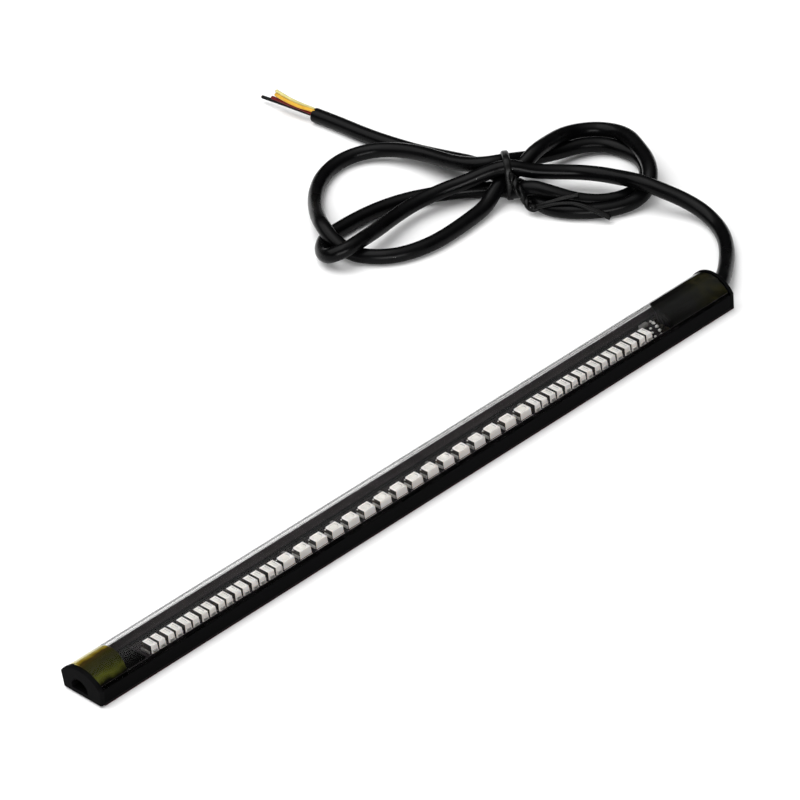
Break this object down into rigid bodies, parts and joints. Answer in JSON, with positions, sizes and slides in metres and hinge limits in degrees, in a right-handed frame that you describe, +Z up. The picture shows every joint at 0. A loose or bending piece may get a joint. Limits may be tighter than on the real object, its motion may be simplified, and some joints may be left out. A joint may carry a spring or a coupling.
{
  "type": "led tail light strip",
  "caption": "Slim black flexible light strip with a clear domed top, turn and brake LED groups in a row, sealed ends, adhesive back and a bundled thin cable with stripped wires.",
  "frame": {"origin": "middle of the strip's length and width, on its resting face (underside of the tape liner)", "axes": "+X along the strip towards the cable end, +Z up through the clear dome, +Y towards the side where the cable bundle lies"},
  "size_m": [0.2412, 0.1605, 0.0104],
  "materials": {
    "liner": "red release film",
    "tape": "black foam tape",
    "black_body": "satin black extrusion",
    "clear_dome": "clear flexible dome",
    "black_cap": "matte moulded",
    "cable_jacket": "satin sheath",
    "board": "black solder mask",
    "led_package": "white moulded package",
    "led_window": "clear resin over white",
    "terminal": "tinned",
    "chip": "chip body",
    "core_lead": "insulated wire",
    "sealant": "translucent yellowed glue",
    "potting": "dark resin",
    "tie": "plastic coated wire",
    "wire_black": "insulation",
    "wire_red": "insulation",
    "wire_yellow": "insulation",
    "wire_white": "insulation"
  },
  "bodies": {
    "root": {"tape_liner": "liner", "adhesive_tape": "tape", "base_channel": "black_body", "lens_cover": "clear_dome", "end_cap": "black_cap", "cable_end_cap": "black_cap", "cable_entry": "cable_jacket", "circuit_board": "board", "left_turn_led_bodies": "led_package", "left_turn_led_windows": "led_window", "left_turn_led_terminals": "terminal", "brake_led_bodies": "led_package", "brake_led_windows": "led_window", "brake_led_terminals": "terminal", "right_turn_led_bodies": "led_package", "right_turn_led_windows": "led_window", "right_turn_led_terminals": "terminal", "left_turn_resistors": "chip", "right_turn_resistors": "chip", "brake_resistors": "chip", "protection_diode": "chip", "cable_solder_joints": "terminal", "cable_core_leads": "core_lead", "end_sealant": "sealant", "cable_end_potting": "potting", "cable_lead": "cable_jacket", "cable_tail": "cable_jacket", "cable_hank": "cable_jacket", "twist_tie": "tie", "wire_black": "wire_black", "wire_red": "wire_red", "wire_yellow": "wire_yellow", "wire_white": "wire_white"}
  },
  "joints": []
}
